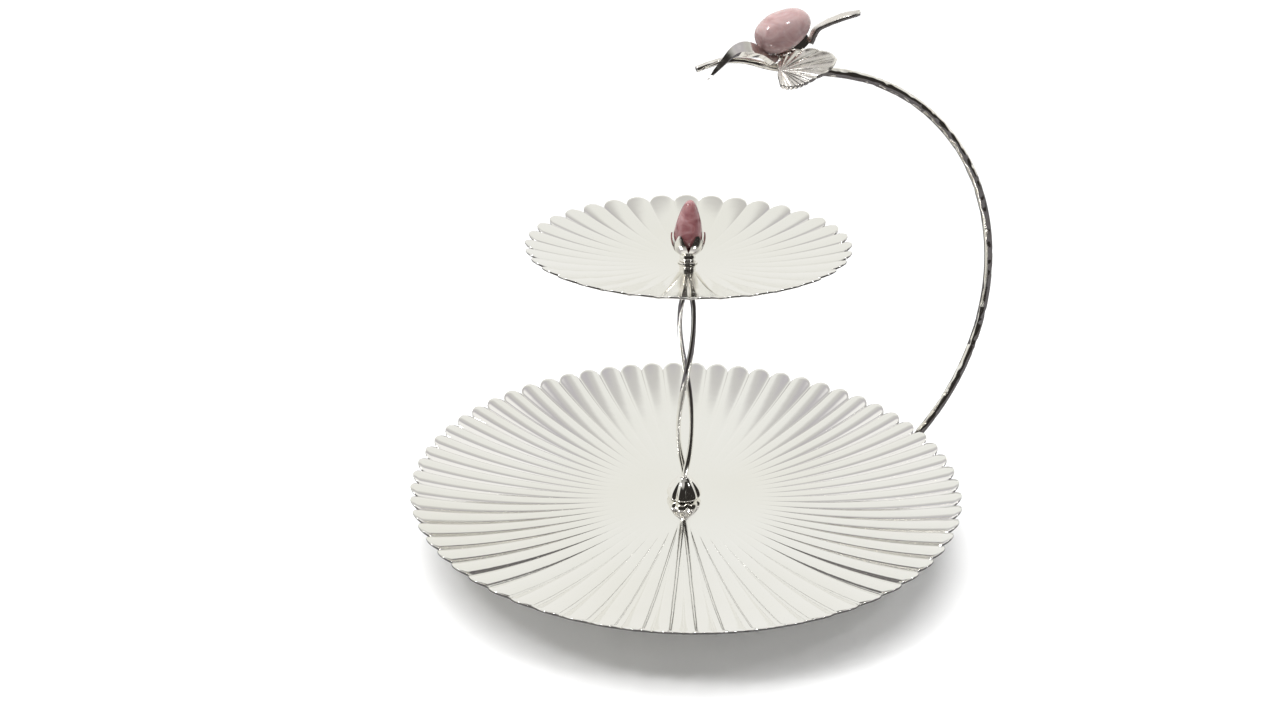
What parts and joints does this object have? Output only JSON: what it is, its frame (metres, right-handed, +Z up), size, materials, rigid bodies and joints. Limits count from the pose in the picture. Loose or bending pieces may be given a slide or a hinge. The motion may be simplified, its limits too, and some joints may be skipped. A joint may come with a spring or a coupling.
{
  "type": "tiered cake stand",
  "caption": "Two-tier silver cake stand with fluted scalloped plates, a twisted stem, a stone bud finial and a bird on a hammered wire handle.",
  "frame": {"origin": "centre of the cork disc's underside, on the stem's axis, where the stand meets the table", "axes": "+Z up along the stem; the handle's upright plane leans 22 degrees from +X towards +Y"},
  "size_m": [0.3505, 0.32, 0.3006],
  "materials": {
    "plate_silver": "polished silver plate with fine polishing marks",
    "polished_silver": "mirror polished silver plate",
    "hammered_silver": "hammered and polished silver plate",
    "satin_silver": "satin silver plate with cut ribs",
    "body_quartz": "tumbled rose quartz, polished",
    "finial_quartz": "tumbled rose quartz, darker, polished",
    "steel": "turned steel",
    "fibre": "vulcanised fibre",
    "cork": "pressed cork"
  },
  "bodies": {
    "stand": {"lower_plate": "plate_silver", "foot_ring": "plate_silver", "base_disc": "cork", "stem_stud": "steel", "top_stud": "steel", "plate_spacer": "steel", "lock_washer": "steel", "lock_nut": "steel", "support_washer": "fibre", "stem_bead": "polished_silver", "strand_front": "polished_silver", "strand_back": "polished_silver", "stem_collar": "polished_silver", "handle_wire": "hammered_silver", "bird_cradle": "polished_silver", "bird_head": "polished_silver", "bird_wing": "satin_silver", "bird_tail": "satin_silver", "bird_stone": "body_quartz"},
    "upper_plate": {"upper_plate": "plate_silver"},
    "finial_washer": {"finial_washer": "polished_silver"},
    "finial": {"finial_neck": "polished_silver", "finial_calyx": "polished_silver", "finial_stone": "finial_quartz"}
  },
  "joints": [
    {"name": "upper_plate_turn", "type": "hinge", "parent": "stand", "child": "upper_plate", "pos_m": [0, 0, 0.1673], "axis": [0, 0, 1], "continuous": true},
    {"name": "finial_turn", "type": "hinge", "parent": "stand", "child": "finial_washer", "pos_m": [0, 0, 0.1685], "axis": [0, 0, 1], "range_deg": [0, 2880]},
    {"name": "finial_rise", "type": "slide", "parent": "finial_washer", "child": "finial", "axis": [0, 0, 1], "range_m": [0, 0.008]}
  ],
  "couplings": [
    {"joint": "finial_rise", "follows": "finial_turn", "m_per_rad": 0.00015915}
  ]
}
